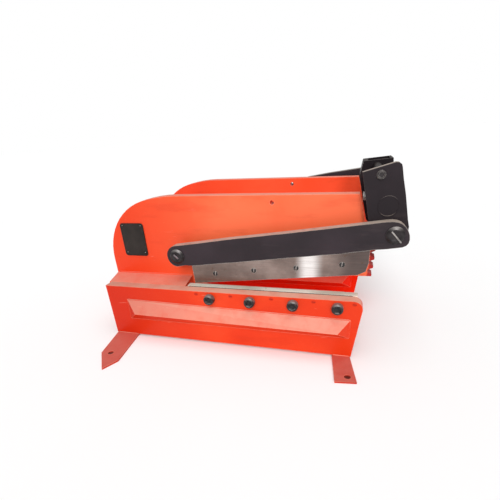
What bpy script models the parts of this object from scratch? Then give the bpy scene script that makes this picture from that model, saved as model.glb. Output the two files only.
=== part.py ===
"""Hand lever plate shear: two C-shaped frame plates, a hinged blade arm and a geared head.

Axes: +X runs along the blades to the open end, +Y from front to back, +Z up.
Origin: bench level, under the middle of the whole machine.
Outlines are drawn from the left end of the front lower plate, at ledge height.
Lengths are in metres; MM turns millimetres into metres.
"""
import math

import bmesh
import bpy
from mathutils import Matrix, Vector

MM = 0.001

# ---- heights: everything is measured from the ledge (top of the lower body) ----
LEDGE = 102.8                  # ledge height above the bench
BODY_H = 99.5                  # lower body height
MIDDLE = (243.05, 115.45)      # middle of the machine, from the front lower plate's corner
STRAP_T = 3.0                  # base strap thickness
FIT = 0.3                      # gap left between pieces that touch

# ---- depth layers, front to back ----
Y_PLATE = 0.0                  # front face of the front lower plate
T_PLATE = 18.2                 # lower plate thickness
Y_SHEAR = 30.0                 # plane in which the blades pass each other
T_BLADE = 15.7                 # blade thickness
Y_CARRIER = 46.3               # front face of the blade carrier
T_CARRIER = 15.7
Y_FRAME = 68.3                 # front face of the front frame plate
T_FRAME = 19.7                 # frame plate thickness
REAR_SHIFT = 203.0             # the rear frame repeats the front one this far back

# ---- arm hinge and geared head ----
HINGE = (140.0, 50.0)          # arm hinge axis, x and height above the ledge
MODULE = 4.5                   # gear module
SECTOR_TEETH = 143             # teeth a full fixed gear round the hinge would have
PINION_TEETH = 12
PRESSURE = math.radians(25.0)
ADDENDUM = 0.8 * MODULE
DEDENDUM = 0.95 * MODULE
BACKLASH = 0.5
HEAD_ANGLE = math.radians(7.06)      # direction from the hinge to the head axis
SECTOR_R = MODULE * SECTOR_TEETH / 2.0
PINION_R = MODULE * PINION_TEETH / 2.0
CENTRES = SECTOR_R + PINION_R
HEAD = (HINGE[0] + CENTRES * math.cos(HEAD_ANGLE),
        HINGE[1] + CENTRES * math.sin(HEAD_ANGLE))
TOOTH_PITCH = 2.0 * math.pi / SECTOR_TEETH
FIRST_TOOTH = math.radians(-0.9)     # centre of the tooth nearest the horizontal
LOWEST_TOOTH = -2
HIGHEST_TOOTH = 3
EDGE_R = 309.3                 # plain edge of the frame plate above the teeth

# ---- blades and screws ----
BLADE_H = 51.0
LOWER_BLADE_X = (158.0, 444.0)
SCREW_X = (206.0, 276.5, 347.0, 415.5)
SCREW_Z = -12.0
HEAD_R = 9.0                   # M12 socket head
SHANK_R = 6.0
ADJUST_X = (181.0, 243.0, 312.0, 379.0, 440.0)

# ---- shafts ----
PIVOT_R = 9.0
HEAD_SHAFT_R = 10.3
PIVOT_CAP_R = 12.0
HEAD_CAP_R = 12.6
SLEEVE_R = 18.5
CROSS = (459.6, 171.9)         # cross tube axis near the top of the head
CROSS_R = 7.0
PLUG = (473.5, 129.5)          # round plug in each cheek
PLUG_R = 13.5

ROUND = 32                     # facets on a large round
SMALL = 18                     # facets on a small round

for old in list(bpy.data.objects):
    bpy.data.objects.remove(old, do_unlink=True)

scene = bpy.context.scene
shear = bpy.data.collections.new("metal_shear")
cutters = bpy.data.collections.new("cutters")
scene.collection.children.link(shear)
scene.collection.children.link(cutters)


# ---------------------------------------------------------------- helpers
def point(x, y, z):
    """A point given in millimetres with its height above the ledge."""
    return Vector(((x - MIDDLE[0]) * MM, (y - MIDDLE[1]) * MM, (z + LEDGE) * MM))


def paint(name, colour, rough, metal, coat=0.0):
    mat = bpy.data.materials.new(name)
    mat.use_nodes = True
    shader = mat.node_tree.nodes["Principled BSDF"]
    shader.inputs["Base Color"].default_value = (*colour, 1.0)
    shader.inputs["Roughness"].default_value = rough
    shader.inputs["Metallic"].default_value = metal
    shader.inputs["Coat Weight"].default_value = coat
    mat.diffuse_color = (*colour, 1.0)
    return mat


def orange(name):
    return paint(name, (0.85, 0.09, 0.03), 0.35, 0.0, 0.3)


def black(name):
    return paint(name, (0.025, 0.024, 0.027), 0.45, 0.0)


def steel(name):
    return paint(name, (0.55, 0.52, 0.50), 0.3, 1.0)


def dark_steel(name):
    return paint(name, (0.05, 0.05, 0.055), 0.4, 0.8)


def empty(name, x, z, parent=None):
    node = bpy.data.objects.new(name, None)
    node.empty_display_size = 0.03
    shear.objects.link(node)
    place = point(x, 0.0, z)
    if parent is not None:
        node.parent = parent
        place = place - parent_place[parent.name]
    node.location = place
    parent_place[node.name] = point(x, 0.0, z)
    return node


parent_place = {}


def add_object(bm, name, mat, parent=None, smooth=False, collection=None):
    """Turn a bmesh in world millimetre-true metres into a named object."""
    bmesh.ops.recalc_face_normals(bm, faces=bm.faces)
    base = parent_place[parent.name] if parent is not None else Vector((0, 0, 0))
    bmesh.ops.translate(bm, verts=bm.verts, vec=-base)
    mesh = bpy.data.meshes.new(name)
    bm.to_mesh(mesh)
    bm.free()
    if smooth:
        for poly in mesh.polygons:
            poly.use_smooth = True
        mesh.set_sharp_from_angle(angle=math.radians(35.0))
    node = bpy.data.objects.new(name, mesh)
    (collection or shear).objects.link(node)
    if parent is not None:
        node.parent = parent
    if mat is not None:
        mesh.materials.append(mat)
    return node


def extrude_outline(outline, y0, y1):
    """A prism along Y from an outline of (x, height) pairs."""
    bm = bmesh.new()
    verts = [bm.verts.new(point(x, y0, z)) for x, z in outline]
    face = bm.faces.new(verts)
    moved = bmesh.ops.extrude_face_region(bm, geom=[face])
    new_verts = [g for g in moved["geom"] if isinstance(g, bmesh.types.BMVert)]
    bmesh.ops.translate(bm, verts=new_verts, vec=(0.0, (y1 - y0) * MM, 0.0))
    return bm


def add_cylinder(bm, x, z, y0, y1, radius, facets=SMALL, turn=0.0):
    """A cylinder along Y added to a bmesh."""
    middle = point(x, (y0 + y1) / 2.0, z)
    place = Matrix.Translation(middle) @ Matrix.Rotation(math.radians(90.0), 4, "X")
    place = place @ Matrix.Rotation(turn, 4, "Z")
    bmesh.ops.create_cone(bm, cap_ends=True, cap_tris=False, segments=facets,
                          radius1=radius * MM, radius2=radius * MM,
                          depth=abs(y1 - y0) * MM, matrix=place)


def add_lathe(bm, x, z, profile, facets=SMALL):
    """Turn a profile of (radius, y) pairs round a Y axis; it starts and ends on the axis."""
    verts = [bm.verts.new(point(x + r, y, z)) for r, y in profile]
    edges = [bm.edges.new(pair) for pair in zip(verts, verts[1:])]
    bmesh.ops.spin(bm, geom=verts + edges, cent=point(x, 0.0, z), axis=(0.0, 1.0, 0.0),
                   angle=2.0 * math.pi, steps=facets, use_merge=True, use_duplicate=False)
    bmesh.ops.remove_doubles(bm, verts=bm.verts, dist=0.00001)


def cut(node, bm, label):
    """Cut a cutter mesh out of a node."""
    parent = node.parent
    cutter = add_object(bm, "cut_" + label, None, parent=parent, collection=cutters)
    cutter.display_type = "WIRE"
    cutter.hide_render = True
    mod = node.modifiers.new("cut_" + label, "BOOLEAN")
    mod.operation = "DIFFERENCE"
    mod.solver = "EXACT"
    mod.object = cutter


def drill(node, holes, y0, y1, label, facets=SMALL):
    """Round holes along Y, given as (x, height, radius)."""
    bm = bmesh.new()
    for x, z, radius in holes:
        add_cylinder(bm, x, z, y0, y1, radius, facets)
    cut(node, bm, label)


def soften(node, width):
    """A small chamfer on the sharp edges."""
    mod = node.modifiers.new("edge", "BEVEL")
    mod.width = width * MM
    mod.segments = 1
    mod.limit_method = "ANGLE"
    mod.angle_limit = math.radians(50.0)
    mod.use_clamp_overlap = True


def plate(name, outline, y0, y1, mat, parent=None):
    return add_object(extrude_outline(outline, y0, y1), name, mat, parent)


def box(name, x0, x1, y0, y1, z0, z1, mat, parent=None):
    return plate(name, [(x0, z0), (x1, z0), (x1, z1), (x0, z1)], y0, y1, mat, parent)


def arc(centre, radius, start, end, steps):
    """Points on an arc, angles in degrees."""
    points = []
    for i in range(steps + 1):
        angle = math.radians(start + (end - start) * i / steps)
        points.append((centre[0] + radius * math.cos(angle),
                       centre[1] + radius * math.sin(angle)))
    return points


def involute(angle):
    return math.tan(angle) - angle


def tooth_half_angles(teeth, steps):
    """(radius, half angle) pairs of an involute tooth flank from root to tip."""
    pitch_r = MODULE * teeth / 2.0
    base_r = pitch_r * math.cos(PRESSURE)
    half = (math.pi * MODULE / 2.0 - BACKLASH) / (2.0 * pitch_r)
    root, tip = pitch_r - DEDENDUM, pitch_r + ADDENDUM
    flank = []
    for i in range(steps + 1):
        r = root + (tip - root) * i / steps
        rolled = max(r, base_r)
        flank.append((r, half + involute(PRESSURE) - involute(math.acos(base_r / rolled))))
    return flank


def gear_tooth(centre, teeth, middle, steps=4):
    """One tooth, from its clockwise root to its other root."""
    flank = tooth_half_angles(teeth, steps)
    points = [(r, middle - a) for r, a in flank] + [(r, middle + a) for r, a in reversed(flank)]
    return [(centre[0] + r * math.cos(t), centre[1] + r * math.sin(t)) for r, t in points]


# ---------------------------------------------------------------- fixed frame
def lower_plate_outline():
    right = arc((438.5, -14.0), 14.0, 0.0, 90.0, 6)
    return [(0.0, -BODY_H), (441.5, -BODY_H)] + right + [(0.0, 0.0)]


def stiffener(name, y_face, mat):
    """Angle section welded on by its toes, with mitred and closed ends."""
    top, bottom, ridge, proud = (-25.5, -32.0), -65.0, (-46.5, -50.0), 17.0
    left, right, inset = 40.0, 436.0, 18.0
    bm = bmesh.new()
    back = [(left, top[0]), (right, top[1]), (right, bottom), (left, bottom)]
    corners = [bm.verts.new(point(x, y_face, z)) for x, z in back]
    a = bm.verts.new(point(left + inset + 4.0, y_face - proud, ridge[0]))
    b = bm.verts.new(point(right - inset, y_face - proud, ridge[1]))
    bm.faces.new(corners)
    bm.faces.new((corners[0], corners[1], b, a))
    bm.faces.new((corners[2], corners[3], a, b))
    bm.faces.new((corners[1], corners[2], b))
    bm.faces.new((corners[3], corners[0], a))
    return add_object(bm, name, mat)


def frame_outline():
    """The C-shaped plate with teeth on its right edge; the lowest has a flat underside."""
    root_r = SECTOR_R - DEDENDUM
    lowest = gear_tooth(HINGE, SECTOR_TEETH, FIRST_TOOTH + LOWEST_TOOTH * TOOTH_PITCH)
    toothed = lowest[len(lowest) // 2 - 1:]
    for k in range(LOWEST_TOOTH + 1, HIGHEST_TOOTH + 1):
        toothed += gear_tooth(HINGE, SECTOR_TEETH, FIRST_TOOTH + k * TOOTH_PITCH)
    high = math.degrees(FIRST_TOOTH + (HIGHEST_TOOTH + 0.55) * TOOTH_PITCH)
    toothed.append((HINGE[0] + root_r * math.cos(math.radians(high)),
                    HINGE[1] + root_r * math.sin(math.radians(high))))
    plain = arc(HINGE, EDGE_R, high + 0.3, 17.6, 4)
    lower_arm = [(430.0, -BODY_H), (430.0, -30.0), (424.0, -24.0)]
    throat = [(168.0, -24.0), (157.0, -18.0), (153.0, -6.0), (157.0, 8.0), (168.0, 14.0)]
    top = [(128.0, 145.2), (112.0, 144.7), (95.0, 143.0), (79.0, 140.4)]
    corner = arc((93.0, 28.0), 113.0, 105.0, 180.0, 12)
    left = [(-20.0, -20.0), (-14.0, -BODY_H)]
    return lower_arm + throat + [(446.0, 14.5)] + toothed + plain + top + corner + left


def frame_set(tag, shift, mat_tag):
    """Lower plate, stiffener, blocks and C-shaped plate of one side."""
    lower = plate(tag + "_lower_plate", lower_plate_outline(), shift, shift + T_PLATE,
                  orange(mat_tag + "_lower_paint"))
    stiffener(tag + "_stiffener", shift - FIT, orange(mat_tag + "_stiffener_paint"))
    inner0, inner1 = shift + T_PLATE + FIT, shift + Y_FRAME - FIT
    bm = bmesh.new()
    z0, z1 = -51.0, 0.0
    foot = [(-3.8, inner0), (153.0, inner0), (145.0, inner1), (-18.6, inner1)]
    low = [bm.verts.new(point(x, y, z0)) for x, y in foot]
    face = bm.faces.new(low)
    moved = bmesh.ops.extrude_face_region(bm, geom=[face])
    up = [g for g in moved["geom"] if isinstance(g, bmesh.types.BMVert)]
    bmesh.ops.translate(bm, verts=up, vec=(0.0, 0.0, (z1 - z0) * MM))
    add_object(bm, tag + "_ledge_block", orange(mat_tag + "_ledge_paint"))
    box(tag + "_seat_bar", -3.8, 428.0, inner0, inner1, -BODY_H, -51.0 - FIT,
        orange(mat_tag + "_seat_paint"))
    y0 = shift + Y_FRAME
    frame = plate(tag + "_frame_plate", frame_outline(), y0, y0 + T_FRAME,
                  orange(mat_tag + "_frame_paint"))
    drill(frame, [(HINGE[0], HINGE[1], PIVOT_R + FIT)], y0 - 5, y0 + T_FRAME + 5,
          tag + "_hinge", ROUND)
    drill(frame, [(302.0, 132.6, 3.6)], y0 - 5, y0 + T_FRAME + 5, tag + "_small_hole", 16)
    return lower, frame


front_lower, front_frame = frame_set("front", 0.0, "front")
rear_lower, rear_frame = frame_set("rear", REAR_SHIFT, "rear")
drill(front_lower, [(x, SCREW_Z, SHANK_R + FIT) for x in SCREW_X], -5, 20, "blade_screws")
drill(front_lower, [(x, -5.2, 2.8) for x in ADJUST_X], -5, 20, "adjusters", 12)

lower_blade = box("lower_blade", *LOWER_BLADE_X, T_PLATE + FIT, Y_SHEAR, -BLADE_H, 1.5,
                  steel("lower_blade_steel"))
drill(lower_blade, [(x, SCREW_Z, SHANK_R + FIT) for x in SCREW_X], 5, 28.3, "lower_blade_holes")


def socket_screw(name, x, z, y_seat, length, mat):
    """A socket head screw whose head stands in front of y_seat."""
    bm = bmesh.new()
    add_lathe(bm, x, z, [(0.0, y_seat - 10.0), (HEAD_R - 1.2, y_seat - 10.0),
                         (HEAD_R, y_seat - 8.8), (HEAD_R, y_seat - FIT),
                         (SHANK_R, y_seat - FIT), (SHANK_R, y_seat + length),
                         (0.0, y_seat + length)])
    node = add_object(bm, name, mat, smooth=True)
    key = bmesh.new()
    add_cylinder(key, x, z, y_seat - 14.0, y_seat - 4.5, 5.6, 6, math.radians(12.0))
    cut(node, key, name)
    return node


socket_black = dark_steel("socket_screw_black")
for i, x in enumerate(SCREW_X, 1):
    socket_screw(f"lower_blade_screw_{i}", x, SCREW_Z, 0.0, 27.0, socket_black)

adjuster_black = dark_steel("adjusting_screw_black")
for i, x in enumerate(ADJUST_X, 1):
    bm = bmesh.new()
    add_cylinder(bm, x, -5.2, 0.8, T_PLATE, 2.5, 12)
    add_object(bm, f"blade_adjusting_screw_{i}", adjuster_black)

# ---- nameplate: a plain blank plate ----
NAME_X, NAME_Z, NAME_R = (9.8, 58.7), (36.0, 98.2), 5.0
bm_outline = (arc((NAME_X[1] - NAME_R, NAME_Z[0] + NAME_R), NAME_R, -90.0, 0.0, 4)
              + arc((NAME_X[1] - NAME_R, NAME_Z[1] - NAME_R), NAME_R, 0.0, 90.0, 4)
              + arc((NAME_X[0] + NAME_R, NAME_Z[1] - NAME_R), NAME_R, 90.0, 180.0, 4)
              + arc((NAME_X[0] + NAME_R, NAME_Z[0] + NAME_R), NAME_R, 180.0, 270.0, 4))
plate("nameplate", bm_outline, Y_FRAME - FIT - 1.2, Y_FRAME - FIT, black("nameplate_black"))

# ---- base straps: both frames stand on them ----
STRAP_BACK = REAR_SHIFT + Y_FRAME + T_FRAME + 45.0


def strap(name, outline, hole_front, hole_back, mat):
    bm = bmesh.new()
    verts = [bm.verts.new(point(x, y, -LEDGE)) for x, y in outline]
    face = bm.faces.new(verts)
    moved = bmesh.ops.extrude_face_region(bm, geom=[face])
    up = [g for g in moved["geom"] if isinstance(g, bmesh.types.BMVert)]
    bmesh.ops.translate(bm, verts=up, vec=(0.0, 0.0, STRAP_T * MM))
    node = add_object(bm, name, mat)
    holes = bmesh.new()
    for x, y in (hole_front, hole_back):
        bmesh.ops.create_cone(holes, cap_ends=True, segments=SMALL, radius1=5.0 * MM,
                              radius2=5.0 * MM, depth=0.03,
                              matrix=Matrix.Translation(point(x, y, -LEDGE)))
    cut(node, holes, name)
    return node


strap("left_base_strap", [(0.5, 2.0), (0.5, STRAP_BACK), (47.5, STRAP_BACK), (47.5, -4.0),
                          (59.0, -85.5), (45.6, -112.6), (14.2, -71.0)],
      (32.0, -68.0), (24.0, STRAP_BACK - 18.0), orange("left_strap_paint"))
strap("right_base_strap", [(411.5, 2.0), (411.5, STRAP_BACK), (440.5, STRAP_BACK),
                           (440.5, -2.0), (451.2, -63.5), (419.5, -67.5)],
      (437.5, -53.0), (426.0, STRAP_BACK - 18.0), orange("right_strap_paint"))


# ---- hinge shaft, its spacers and the distance tubes between the frame plates ----
def tube(name, x, z, y0, y1, outer, inner, mat, parent=None):
    bm = bmesh.new()
    verts = [bm.verts.new(point(x + r, y, z)) for r, y in
             ((inner, y0), (outer, y0), (outer, y1), (inner, y1))]
    edges = [bm.edges.new((verts[i], verts[(i + 1) % 4])) for i in range(4)]
    bmesh.ops.spin(bm, geom=verts + edges, cent=point(x, 0.0, z), axis=(0.0, 1.0, 0.0),
                   angle=2.0 * math.pi, steps=ROUND, use_merge=True, use_duplicate=False)
    bmesh.ops.remove_doubles(bm, verts=bm.verts, dist=0.00001)
    return add_object(bm, name, mat, parent, smooth=True)


REAR_FACE = REAR_SHIFT + Y_FRAME + T_FRAME           # back of the rear frame plate
Y_REAR_CHEEK = REAR_FACE + 10.3
Y_REAR_ARM = Y_REAR_CHEEK + 12.0
T_ARM = 15.7
SHAFT_BACK = Y_REAR_ARM + T_ARM
CAP_T = 4.0


def shaft(name, x, z, radius, cap, mat, parent=None):
    """A headed shaft through the whole machine, with a plain end for its nut."""
    front = Y_SHEAR + FIT - FIT
    bm = bmesh.new()
    add_lathe(bm, x, z, [(0.0, front - CAP_T), (cap - 1.5, front - CAP_T),
                         (cap, front - CAP_T + 1.5), (cap, front), (radius, front),
                         (radius, SHAFT_BACK + 13.0), (radius - 1.5, SHAFT_BACK + 14.5),
                         (0.0, SHAFT_BACK + 14.5)], ROUND)
    return add_object(bm, name, mat, parent, smooth=True)


def nut(name, x, z, bore, across, y0, thick, mat, parent=None):
    bm = bmesh.new()
    add_cylinder(bm, x, z, y0, y0 + thick, across / math.sqrt(3.0), 6)
    node = add_object(bm, name, mat, parent)
    drill(node, [(x, z, bore)], y0 - 5, y0 + thick + 5, name, ROUND)
    return node


shaft("hinge_shaft", *HINGE, PIVOT_R, PIVOT_CAP_R, dark_steel("hinge_shaft_steel"))
nut("hinge_nut", *HINGE, PIVOT_R + FIT, 30.0, SHAFT_BACK + FIT, 10.0, dark_steel("hinge_nut_steel"))
tube("hinge_spacer_front", *HINGE, Y_CARRIER + T_CARRIER + FIT, Y_FRAME - FIT, 12.5,
     PIVOT_R + FIT, dark_steel("hinge_spacer_front_steel"))
tube("hinge_distance_tube", *HINGE, Y_FRAME + T_FRAME + FIT, REAR_SHIFT + Y_FRAME - FIT, 16.0,
     PIVOT_R + FIT, orange("hinge_tube_paint"))
tube("hinge_spacer_rear", *HINGE, REAR_FACE + FIT, Y_REAR_ARM - FIT, 16.0, PIVOT_R + FIT,
     dark_steel("hinge_spacer_rear_steel"))
tube("corner_distance_tube", 62.0, 95.0, Y_FRAME + T_FRAME + FIT, REAR_SHIFT + Y_FRAME - FIT,
     14.0, 9.0, orange("corner_tube_paint"))

# ---- stop screws in the toothed edges ----
STOP_Z = 139.0
STOP_X = (439.2, 445.0)
zinc = steel("stop_screw_zinc")
for tag, base in (("front", 0.0), ("rear", REAR_SHIFT)):
    y_mid = base + Y_FRAME + T_FRAME / 2.0
    place = Matrix.Translation(point(sum(STOP_X) / 2.0, y_mid, STOP_Z))
    place = place @ Matrix.Rotation(math.radians(90.0), 4, "Y")
    bm = bmesh.new()
    bmesh.ops.create_cone(bm, cap_ends=True, segments=6, radius1=6.5 * MM,
                          radius2=6.5 * MM, depth=(STOP_X[1] - STOP_X[0]) * MM, matrix=place)
    add_object(bm, tag + "_stop_screw", zinc)

# ---------------------------------------------------------------- moving arm
arm = empty("arm_axis", *HINGE)
head = empty("head_axis", *HEAD, parent=arm)


BAR_LOW = [(166.0, 34.2), (413.0, 63.8)]         # lower edge of the link bar


def bar_outline(top_lift=0.0):
    """The link bar from the hinge to the head axis; top_lift raises its back."""
    left = arc((HINGE[0] - 0.5, HINGE[1]), 18.8, 262.0, 98.0, 12)
    right = [(481.0, 111.9), (487.5, 111.1), (493.0, 108.9), (498.0, 104.8), (502.0, 99.6),
             (504.6, 93.6), (505.7, 87.0), (505.0, 81.8), (502.2, 77.9), (497.5, 75.6)]
    upper = [(172.0, 73.0), (232.0, 81.4), (337.0, 94.0)]
    if top_lift:
        upper = [(330.0, 96.0 + top_lift * 0.97), (372.0, 101.0 + top_lift),
                 (440.0, 109.0 + top_lift), (452.0, 109.0 + top_lift * 0.7)]
    lower = [(478.0, 72.6), (457.0, 70.6), BAR_LOW[1], BAR_LOW[0], (154.0, 34.6)]
    return left + upper + [(473.0, 111.4)] + right + lower


link = plate("front_link_bar", bar_outline(), Y_SHEAR + FIT, Y_SHEAR + FIT + T_BLADE,
             black("link_bar_paint"), arm)
drill(link, [(*HINGE, PIVOT_R + FIT), (*HEAD, HEAD_SHAFT_R + FIT)], 20, 60, "link_bores", ROUND)


BLADE_LOW = [(168.0, 1.8), (440.5, 30.8)]        # cutting edge of the upper blade


def edge_z(x, line, lift=0.0):
    (x0, z0), (x1, z1) = line
    return z0 + (z1 - z0) * (x - x0) / (x1 - x0) + lift


upper_blade_outline = [(168.0, 1.8), (440.5, 30.8), (452.0, 37.0), (455.0, 50.0), (455.0, 69.9),
                       (413.0, 63.8 - FIT), (166.0, edge_z(166.0, BAR_LOW, -FIT))]
upper_blade = plate("upper_blade", upper_blade_outline, Y_SHEAR + FIT, Y_SHEAR + FIT + T_BLADE,
                    steel("upper_blade_steel"), arm)
UPPER_SCREWS = [(208.0, 21.5), (277.0, 30.5), (347.0, 38.0), (417.0, 46.5)]
drill(upper_blade, [(x, z, 4.3) for x, z in UPPER_SCREWS], 20, 60, "upper_blade_holes")

carrier_outline = ([(172.0, 7.0), (436.0, 36.0), (440.0, 40.0), (440.0, 99.0), (250.0, 71.0),
                    (205.0, 64.0)]
                   + arc((HINGE[0] - 0.5, HINGE[1]), 14.0, 95.0, 262.0, 12)
                   + [(166.0, 36.0)])
carrier = plate("blade_carrier", carrier_outline, Y_CARRIER, Y_CARRIER + T_CARRIER,
                black("carrier_paint"), arm)
drill(carrier, [(*HINGE, PIVOT_R + FIT)], 40, 70, "carrier_bore", ROUND)
drill(carrier, [(x, z, 4.3) for x, z in UPPER_SCREWS], 40, 70, "carrier_holes")
drill(carrier, [(x, z, 7.3) for x, z in UPPER_SCREWS], 53.7, 70, "carrier_counterbores")

upper_black = dark_steel("upper_screw_black")
for i, (x, z) in enumerate(UPPER_SCREWS, 1):
    bm = bmesh.new()
    add_lathe(bm, x, z, [(0.0, 31.5), (4.0, 31.5), (4.0, 54.0), (7.0, 54.0), (7.0, 61.8),
                         (0.0, 61.8)])
    screw = add_object(bm, f"upper_blade_screw_{i}", upper_black, arm, smooth=True)
    key = bmesh.new()
    add_cylinder(key, x, z, 57.5, 66.0, 3.6, 6)
    cut(screw, key, f"upper_screw_{i}")

rear_arm = plate("rear_arm_plate", bar_outline(46.0), Y_REAR_ARM, Y_REAR_ARM + T_ARM,
                 black("rear_arm_paint"), arm)
drill(rear_arm, [(*HINGE, PIVOT_R + FIT), (*HEAD, HEAD_SHAFT_R + FIT)],
      Y_REAR_ARM - 5, SHAFT_BACK + 5, "rear_arm_bores", ROUND)


shaft("head_shaft", *HEAD, HEAD_SHAFT_R, HEAD_CAP_R, dark_steel("head_shaft_steel"), arm)
nut("head_shaft_nut", *HEAD, HEAD_SHAFT_R + FIT, 36.0, SHAFT_BACK + FIT, 10.0,
    dark_steel("head_nut_steel"), arm)


# ---------------------------------------------------------------- geared head
def cheek_outline(rear=False):
    if rear:
        top = [(488.0, 150.0), (484.0, 153.0), (441.5, 151.5), (439.5, 149.0)]
    else:
        top = [(494.0, 145.5), (488.7, 165.0), (485.0, 181.0), (483.8, 184.2), (480.6, 186.6),
               (476.5, 187.0), (434.8, 175.6)]
    low = arc(HEAD, 18.0, 200.0, 360.0, 14)
    return [(449.5, 108.0), (461.0, 92.0)] + low + [(504.4, 101.0), (501.5, 111.5)] + top


def cheek(tag, y0, rear, mat):
    node = plate(tag + "_cheek", cheek_outline(rear), y0, y0 + 11.7, mat, head)
    holes = [(*HEAD, HEAD_SHAFT_R + FIT), (*PLUG, PLUG_R + FIT)]
    drill(node, holes, y0 - 5, y0 + 17, tag + "_cheek_bores", ROUND)
    return node


front_cheek = cheek("front", Y_CARRIER, False, black("front_cheek_paint"))
drill(front_cheek, [(*CROSS, 4.3)], 40, 65, "front_cheek_bolt")

rear_cheek = cheek("rear", Y_REAR_CHEEK, True, black("rear_cheek_paint"))

for tag, y0 in (("front", Y_CARRIER), ("rear", Y_REAR_CHEEK)):
    bm = bmesh.new()
    add_cylinder(bm, *PLUG, y0, y0 + 11.7, PLUG_R, ROUND)
    add_object(bm, tag + "_cheek_plug", black(tag + "_plug_paint"), head)

CONTACT = HEAD_ANGLE + math.pi                       # from the head axis to the hinge
NEAREST = FIRST_TOOTH + 3 * TOOTH_PITCH
GAP_MIDDLE = CONTACT + (HEAD_ANGLE - NEAREST) * SECTOR_TEETH / PINION_TEETH


def pinion(tag, y_teeth, y_hub, mat):
    """A toothed segment of a spur pinion with a hub that reaches the cheek."""
    outline = []
    step = 2.0 * math.pi / PINION_TEETH
    for k in SEGMENT:
        outline += gear_tooth(HEAD, PINION_TEETH, GAP_MIDDLE + (k + 0.5) * step)
    first = math.degrees(GAP_MIDDLE + SEGMENT[0] * step)
    last = math.degrees(GAP_MIDDLE + (SEGMENT[-1] + 1) * step)
    root = PINION_R - DEDENDUM
    outline = (arc(HEAD, root, first + 1.0, first + 5.0, 1)[:1] + outline
               + arc(HEAD, root, last - 1.0, last, 1)[:1]
               + arc(HEAD, HUB_R, last + 2.0, first + 358.0, 18))
    bm = extrude_outline(outline, *y_teeth)
    node = add_object(bm, tag + "_pinion", mat, head)
    hub = bmesh.new()
    add_cylinder(hub, *HEAD, y_hub[0], y_hub[1], HUB_R - 0.3, ROUND)
    base = add_object(hub, "add_" + tag + "_hub", None, parent=head, collection=cutters)
    base.display_type = "WIRE"
    base.hide_render = True
    mod = node.modifiers.new("hub", "BOOLEAN")
    mod.operation = "UNION"
    mod.solver = "EXACT"
    mod.object = base
    drill(node, [(*HEAD, HEAD_SHAFT_R + FIT)], y_teeth[0] - 30, y_teeth[1] + 30,
          tag + "_pinion_bore", ROUND)
    return node


PINION_T = 22.5
HUB_R = 16.8
SEGMENT = (-1, 0, 1, 2, 3)       # teeth that come into mesh over the swing
FRONT_HUB = Y_CARRIER + 12.0
PINION_Y = 67.0
pinion("front", (PINION_Y, PINION_Y + PINION_T), (FRONT_HUB, PINION_Y + 4.0),
       dark_steel("front_pinion_steel"))
REAR_PINION_Y = REAR_SHIFT + PINION_Y - 0.1
pinion("rear", (REAR_PINION_Y, REAR_PINION_Y + PINION_T),
       (REAR_PINION_Y + PINION_T - 4.0, Y_REAR_CHEEK - FIT), dark_steel("rear_pinion_steel"))

SOCKET_Y = (152.0, 204.0)
tube("front_sleeve", *HEAD, PINION_Y + PINION_T + FIT, SOCKET_Y[0] - FIT, SLEEVE_R,
     HEAD_SHAFT_R + FIT, black("front_sleeve_paint"), head)
tube("rear_sleeve", *HEAD, SOCKET_Y[1] + FIT, REAR_PINION_Y - FIT, SLEEVE_R,
     HEAD_SHAFT_R + FIT, black("rear_sleeve_paint"), head)

socket_outline = ([(434.0, 160.0), (436.5, 147.0), (443.0, 116.0), (450.5, 87.0), (461.0, 77.5)]
                  + arc(HEAD, 20.0, 225.0, 372.0, 12)
                  + [(498.5, 118.0), (485.5, 158.0), (482.8, 184.3), (437.8, 181.0)])
socket = plate("handle_socket", socket_outline, *SOCKET_Y, black("socket_paint"), head)
drill(socket, [(*HEAD, HEAD_SHAFT_R + FIT)], SOCKET_Y[0] - 5, SOCKET_Y[1] + 5,
      "socket_bore", ROUND)
POCKET = 34.0
lean = math.radians(-4.0)
middle = point(463.0, sum(SOCKET_Y) / 2.0, 165.0)
bm = bmesh.new()
bmesh.ops.create_cube(bm, size=1.0)
bmesh.ops.scale(bm, verts=bm.verts, vec=(POCKET * MM, 40.0 * MM, 70.0 * MM))
bmesh.ops.rotate(bm, verts=bm.verts, cent=(0, 0, 0), matrix=Matrix.Rotation(lean, 3, "Y"))
bmesh.ops.translate(bm, verts=bm.verts, vec=middle)
cut(socket, bm, "socket_pocket")

tube("front_cross_tube", *CROSS, FRONT_HUB, SOCKET_Y[0] - FIT, CROSS_R, 4.3,
     black("front_cross_paint"), head)
bm = bmesh.new()
add_cylinder(bm, *CROSS, Y_CARRIER - 5.6, Y_CARRIER - FIT, 11.0 / math.sqrt(3.0), 6,
             math.radians(15.0))
bolt = add_object(bm, "cheek_bolt", dark_steel("cheek_bolt_black"), head)
bm = bmesh.new()
add_cylinder(bm, *CROSS, Y_CARRIER - 4.0, Y_CARRIER + 50.0, 4.0, SMALL)
shank = add_object(bm, "add_cheek_bolt_shank", None, parent=head, collection=cutters)
shank.display_type = "WIRE"
shank.hide_render = True
mod = bolt.modifiers.new("shank", "BOOLEAN")
mod.operation = "UNION"
mod.solver = "EXACT"
mod.object = shank

for node in cutters.objects:
    node.hide_viewport = False
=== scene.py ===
import math
import random

import bmesh
import bpy
from mathutils import Matrix, Vector


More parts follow.
